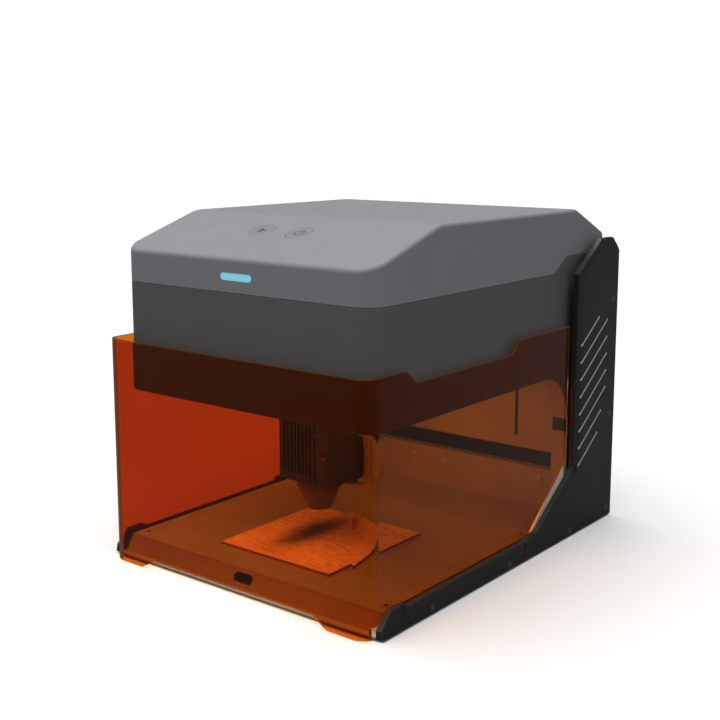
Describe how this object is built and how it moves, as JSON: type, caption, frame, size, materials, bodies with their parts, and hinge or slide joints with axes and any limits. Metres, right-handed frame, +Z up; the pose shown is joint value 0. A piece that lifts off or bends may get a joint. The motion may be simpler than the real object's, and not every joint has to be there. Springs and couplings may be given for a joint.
{
  "type": "desktop laser cutter",
  "caption": "Desktop laser cutter: black side plates, two-tone grey overhead housing with a moving finned laser head, flat bed and a lift-off amber cover.",
  "frame": {"origin": "centre of the overall box at floor level, under the rubber feet", "axes": "+X to the right seen from the front, +Y to the back, +Z up"},
  "size_m": [0.3104, 0.392, 0.3125],
  "materials": {
    "black_steel": "fine powder coat",
    "frame_steel": "satin",
    "panel_grey": "satin",
    "inner_grey": "satin",
    "bare_aluminium": "brushed anodised",
    "dark_aluminium": "bead-blasted anodised",
    "steel": "ground",
    "black_plastic": "moulded",
    "shell_grey": "fine moulded grain",
    "shell_dark": "fine moulded grain",
    "button_grey": "satin",
    "status_cyan": "diffuse light pipe",
    "amber_acrylic": "clear tinted",
    "rubber": "matte",
    "belt": "toothed",
    "plywood": "sanded",
    "circuit_board": "solder mask",
    "brass": "turned",
    "accent_grey": "paint-filled groove",
    "nozzle_plastic": "satin"
  },
  "bodies": {
    "frame": {"rubber_feet": "rubber", "base_plate": "bare_aluminium", "frame_bars": "frame_steel", "work_bed": "bare_aluminium", "bed_screws": "black_plastic", "sample_sheet": "plywood", "left_side_plate": "black_steel", "right_side_plate": "black_steel", "accent_lines": "accent_grey", "plate_screws": "steel", "back_panel": "black_steel", "back_screws": "frame_steel", "left_leg_cover": "panel_grey", "right_leg_cover": "panel_grey", "interlock_sensors": "black_plastic", "rear_beam": "panel_grey", "beam_screws": "steel", "rear_wall": "panel_grey", "exhaust_fan_frame": "black_plastic", "dc_inlet": "black_plastic", "usb_port": "steel", "power_switch": "black_plastic", "lower_housing": "shell_dark", "upper_housing": "shell_grey", "bottom_panel": "inner_grey", "status_light": "status_cyan", "button_board": "circuit_board", "control_board": "circuit_board", "board_standoffs": "brass", "y_rods": "steel", "y_rod_brackets": "frame_steel", "y_belts": "belt", "y_axle_brackets": "frame_steel", "y_motor": "black_plastic", "y_motor_mount": "bare_aluminium"},
    "cover": {"cover": "amber_acrylic"},
    "gantry": {"gantry_beam": "dark_aluminium", "x_rail": "steel", "x_belt": "belt", "x_idler_bolt": "steel", "x_motor": "black_plastic"},
    "carriage": {"carriage": "frame_steel"},
    "laser_head": {"laser_bracket": "dark_aluminium", "laser_heatsink": "dark_aluminium", "laser_core": "brass", "head_fan_frame": "black_plastic", "nozzle": "nozzle_plastic", "air_line": "steel", "head_screws": "steel"},
    "focus_lever": {"focus_lever": "bare_aluminium"},
    "focus_knob": {"focus_knob": "black_plastic"},
    "head_fan_rotor": {"head_fan_rotor": "black_plastic"},
    "exhaust_fan_rotor": {"exhaust_fan_rotor": "black_plastic"},
    "play_button": {"play_button": "button_grey"},
    "power_button": {"power_button": "button_grey"},
    "power_rocker": {"power_rocker": "black_plastic"},
    "y_drive": {"y_drive_shaft": "steel"},
    "y_idlers": {"y_idlers": "bare_aluminium"},
    "x_idler": {"x_idler": "bare_aluminium"},
    "x_motor_pulley": {"x_motor_pulley": "bare_aluminium"}
  },
  "joints": [
    {"name": "cover_lift", "type": "slide", "parent": "frame", "child": "cover", "axis": [0, 0, 1], "range_m": [0, 0.12]},
    {"name": "y_travel", "type": "slide", "parent": "frame", "child": "gantry", "axis": [0, 1, 0], "range_m": [-0.065, 0.105]},
    {"name": "x_travel", "type": "slide", "parent": "gantry", "child": "carriage", "axis": [1, 0, 0], "range_m": [-0.09, 0.08]},
    {"name": "focus_slide", "type": "slide", "parent": "carriage", "child": "laser_head", "axis": [0, 0, 1], "range_m": [-0.01, 0.02]},
    {"name": "focus_knob_turn", "type": "hinge", "parent": "laser_head", "child": "focus_knob", "pos_m": [0.03, -0.053, 0.17], "axis": [1, 0, 0], "continuous": true},
    {"name": "focus_lever_swing", "type": "hinge", "parent": "laser_head", "child": "focus_lever", "pos_m": [0.0278, -0.1022, 0.1053], "axis": [0, 1, 0], "range_deg": [0, 180]},
    {"name": "head_fan_spin", "type": "hinge", "parent": "laser_head", "child": "head_fan_rotor", "pos_m": [0.003, -0.085, 0.181], "axis": [0, 0, 1], "continuous": true},
    {"name": "exhaust_fan_spin", "type": "hinge", "parent": "frame", "child": "exhaust_fan_rotor", "pos_m": [-0.07, 0.185, 0.07], "axis": [0, 1, 0], "continuous": true},
    {"name": "play_press", "type": "slide", "parent": "frame", "child": "play_button", "axis": [0, 0.3137, -0.9495], "range_m": [0, 0.001], "stiffness_N_per_m": 400, "springref_m": -0.001},
    {"name": "power_press", "type": "slide", "parent": "frame", "child": "power_button", "axis": [0, 0.3137, -0.9495], "range_m": [0, 0.001], "stiffness_N_per_m": 400, "springref_m": -0.001},
    {"name": "rocker_tilt", "type": "hinge", "parent": "frame", "child": "power_rocker", "pos_m": [0.1, 0.189, 0.03], "axis": [1, 0, 0], "range_deg": [0, 16]},
    {"name": "y_drive_spin", "type": "hinge", "parent": "frame", "child": "y_drive", "pos_m": [0, 0.112, 0.215], "axis": [1, 0, 0], "range_deg": [-600, 960]},
    {"name": "y_idler_spin", "type": "hinge", "parent": "frame", "child": "y_idlers", "pos_m": [0.129, -0.15, 0.215], "axis": [1, 0, 0], "range_deg": [-600, 960]},
    {"name": "x_pulley_spin", "type": "hinge", "parent": "gantry", "child": "x_motor_pulley", "pos_m": [0.108, -0.026, 0.203], "axis": [0, 0, 1], "range_deg": [-830, 740]},
    {"name": "x_idler_spin", "type": "hinge", "parent": "gantry", "child": "x_idler", "pos_m": [-0.108, -0.026, 0.203], "axis": [0, 0, 1], "range_deg": [-830, 740]}
  ],
  "couplings": [
    {"joint": "y_drive_spin", "follows": "y_travel", "rad_per_m": 156.99},
    {"joint": "y_idler_spin", "follows": "y_travel", "rad_per_m": 156.99},
    {"joint": "x_pulley_spin", "follows": "x_travel", "rad_per_m": 156.99},
    {"joint": "x_idler_spin", "follows": "x_travel", "rad_per_m": 156.99}
  ]
}
